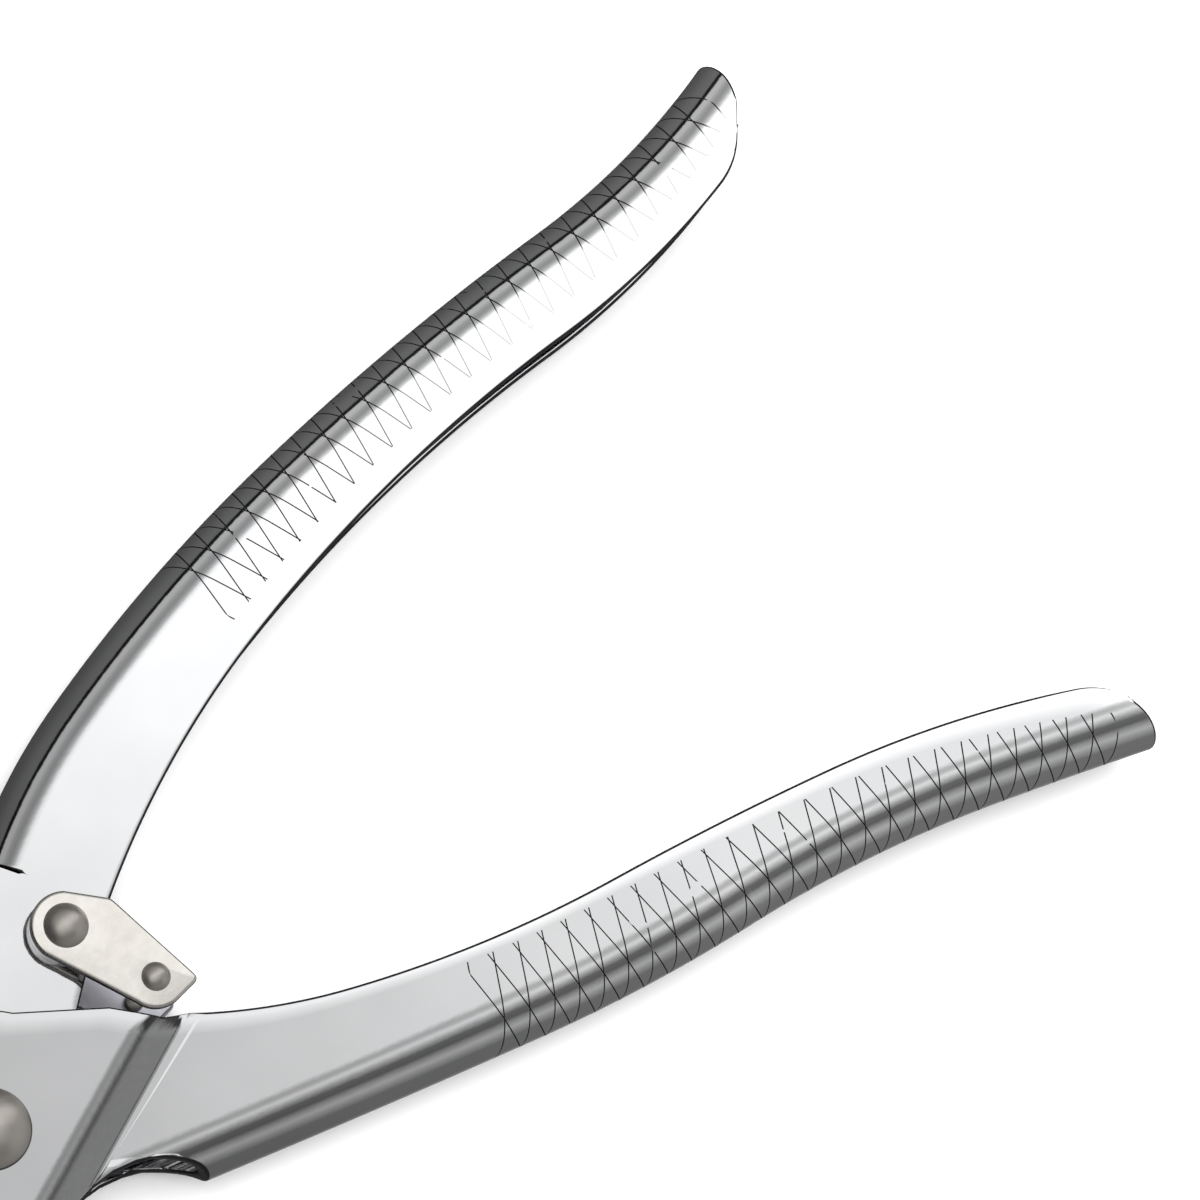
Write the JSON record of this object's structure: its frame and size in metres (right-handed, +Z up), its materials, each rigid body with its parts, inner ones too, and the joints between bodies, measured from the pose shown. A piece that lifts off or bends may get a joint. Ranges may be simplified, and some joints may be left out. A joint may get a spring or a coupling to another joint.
{
  "type": "nutcracker",
  "caption": "Plier-style lever nutcracker: pressed channel handles crossing at a domed rivet, toothed jaws, an opening spring and a swinging catch.",
  "frame": {"origin": "centre of the flat disc at the rear end of the main pivot rivet, on which the tool lies", "axes": "+Z up along the main pivot, towards its domed head; +X towards the ends of the grips; the jaws point along -X; +Y towards the handle that carries the catch"},
  "size_m": [0.2053, 0.1, 0.0214],
  "materials": {
    "handle_sheet": "polished plating on pressed steel sheet",
    "jaw_steel": "milled, dull",
    "spring_wire": "drawn spring wire",
    "catch_plate": "satin nickel, tumbled edges",
    "rivet_steel": "satin, turned",
    "plain_steel": "plain turned"
  },
  "bodies": {
    "outer_side": {"outer_handle": "handle_sheet", "outer_jaw_insert": "jaw_steel", "outer_jaw_rivets": "plain_steel", "main_pivot_rivet": "rivet_steel", "pivot_washer": "plain_steel", "return_spring": "spring_wire", "opening_stop_pin": "plain_steel"},
    "inner_side": {"inner_handle": "handle_sheet", "inner_jaw_insert": "jaw_steel", "inner_jaw_rivets": "plain_steel", "pivot_spacer_tube": "plain_steel", "spring_inner_leg": "spring_wire", "latch_pivot_tube": "plain_steel"},
    "catch": {"latch_front_plate": "catch_plate", "latch_rear_plate": "catch_plate", "latch_pivot_rivet": "rivet_steel", "latch_front_spacer": "plain_steel", "latch_rear_spacer": "plain_steel", "latch_front_catch": "rivet_steel", "latch_rear_catch": "rivet_steel"}
  },
  "joints": [
    {"name": "handles_close", "type": "hinge", "parent": "outer_side", "child": "inner_side", "pos_m": [0, 0, 0], "axis": [0, 0, -1], "range_deg": [0, 15], "stiffness_Nm_per_rad": 0.5, "springref_deg": -34.38},
    {"name": "latch_swing", "type": "hinge", "parent": "inner_side", "child": "catch", "pos_m": [0.02133, 0.01433, 0], "axis": [0, 0, 1], "range_deg": [-14, 60]}
  ]
}
